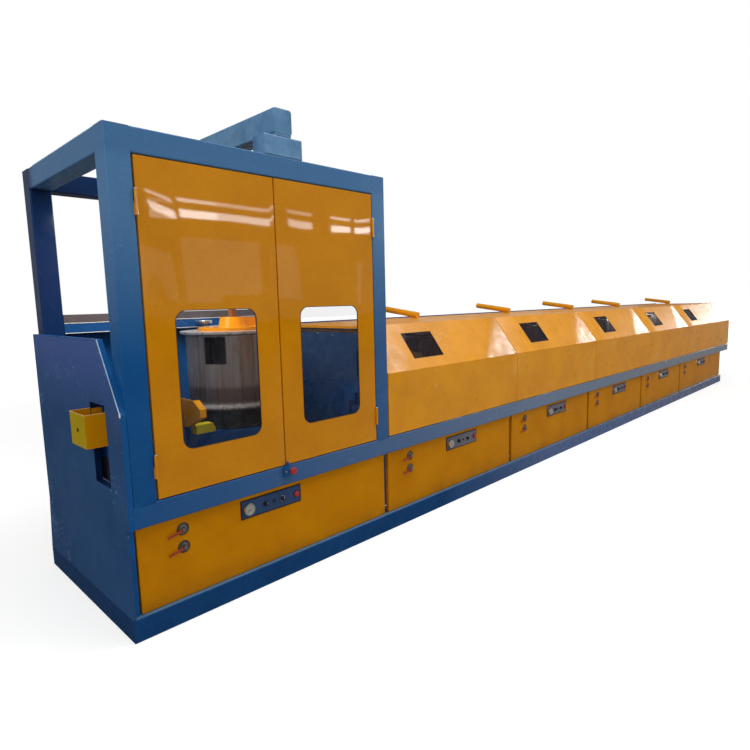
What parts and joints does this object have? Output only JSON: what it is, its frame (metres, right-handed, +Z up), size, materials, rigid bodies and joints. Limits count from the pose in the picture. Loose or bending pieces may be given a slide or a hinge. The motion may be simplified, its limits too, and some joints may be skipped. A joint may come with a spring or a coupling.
{
  "type": "wire drawing machine",
  "caption": "Straight-line wire drawing machine: tall bay with two windowed doors round an open drawing drum, then a long row of hinged sloping hoods over steel rails.",
  "frame": {"origin": "on the floor at the middle plane of the machine, under the left face of the tall frame", "axes": "+X along the machine from the tall bay towards the hoods, +Y from the door side to the back, +Z up"},
  "size_m": [10.768, 1.4056, 2.541],
  "materials": {
    "frame_blue": "gloss",
    "panel_orange": "gloss",
    "steel": "brushed",
    "cap_orange": "gloss",
    "die_green": "gloss",
    "clear_pane": "gloss",
    "tinted_pane": "gloss",
    "knob_black": "satin",
    "gauge_steel": "polished",
    "button_red": "gloss",
    "lever_red": "satin",
    "valve_steel": "satin"
  },
  "bodies": {
    "frame": {"base_long_channels": "frame_blue", "base_cross_channels": "frame_blue", "lower_posts": "frame_blue", "front_rail": "frame_blue", "back_rail": "frame_blue", "rail_cross_members": "frame_blue", "deck_plate": "frame_blue", "lower_front_panels": "panel_orange", "lower_back_panels": "panel_orange", "control_plates": "frame_blue", "pressure_gauges": "gauge_steel", "control_knobs": "knob_black", "ball_valves": "valve_steel", "valve_levers": "lever_red", "tall_posts": "frame_blue", "top_long_beams": "frame_blue", "top_end_beams": "frame_blue", "gantry_blocks": "frame_blue", "gantry_tube": "frame_blue", "rear_rails": "frame_blue", "rear_posts": "frame_blue", "rear_panels": "frame_blue", "left_end_panel": "frame_blue", "wire_entry_bracket": "panel_orange", "right_end_panels": "frame_blue", "partition_wall": "frame_blue", "block_housings": "frame_blue", "covered_drums": "steel", "die_boxes": "die_green", "die_posts": "frame_blue", "die_trays": "panel_orange", "guide_roller": "steel", "stop_button": "button_red", "door_hinge_pins": "panel_orange", "hood_hinge_brackets": "frame_blue"},
    "left_door": {"left_door": "panel_orange", "left_door_window": "clear_pane"},
    "right_door": {"right_door": "panel_orange", "right_door_window": "clear_pane", "door_latch": "frame_blue"},
    "drum": {"drawing_drum": "steel", "drum_cap": "cap_orange"},
    "hood_1": {"hood_1": "panel_orange", "hood_window_1": "tinted_pane"},
    "hood_2": {"hood_2": "panel_orange", "hood_window_2": "tinted_pane"},
    "hood_3": {"hood_3": "panel_orange", "hood_window_3": "tinted_pane"},
    "hood_4": {"hood_4": "panel_orange", "hood_window_4": "tinted_pane"},
    "hood_5": {"hood_5": "panel_orange", "hood_window_5": "tinted_pane"}
  },
  "joints": [
    {"name": "left_door_hinge", "type": "hinge", "parent": "frame", "child": "left_door", "pos_m": [0.1145, -0.607, 1.4], "axis": [0, 0, -1], "range_deg": [0, 110]},
    {"name": "right_door_hinge", "type": "hinge", "parent": "frame", "child": "right_door", "pos_m": [1.5655, -0.607, 1.4], "axis": [0, 0, 1], "range_deg": [0, 110]},
    {"name": "drum_spin", "type": "hinge", "parent": "frame", "child": "drum", "pos_m": [0.92, 0, 1.383], "axis": [0, 0, 1], "continuous": true},
    {"name": "hood_1_hinge", "type": "hinge", "parent": "frame", "child": "hood_1", "pos_m": [2.499, 0.616, 1.354], "axis": [-1, 0, 0], "range_deg": [0, 70]},
    {"name": "hood_2_hinge", "type": "hinge", "parent": "frame", "child": "hood_2", "pos_m": [4.1325, 0.616, 1.354], "axis": [-1, 0, 0], "range_deg": [0, 70]},
    {"name": "hood_3_hinge", "type": "hinge", "parent": "frame", "child": "hood_3", "pos_m": [5.7675, 0.616, 1.354], "axis": [-1, 0, 0], "range_deg": [0, 70]},
    {"name": "hood_4_hinge", "type": "hinge", "parent": "frame", "child": "hood_4", "pos_m": [7.4025, 0.616, 1.354], "axis": [-1, 0, 0], "range_deg": [0, 70]},
    {"name": "hood_5_hinge", "type": "hinge", "parent": "frame", "child": "hood_5", "pos_m": [9.4365, 0.616, 1.354], "axis": [-1, 0, 0], "range_deg": [0, 70]}
  ]
}
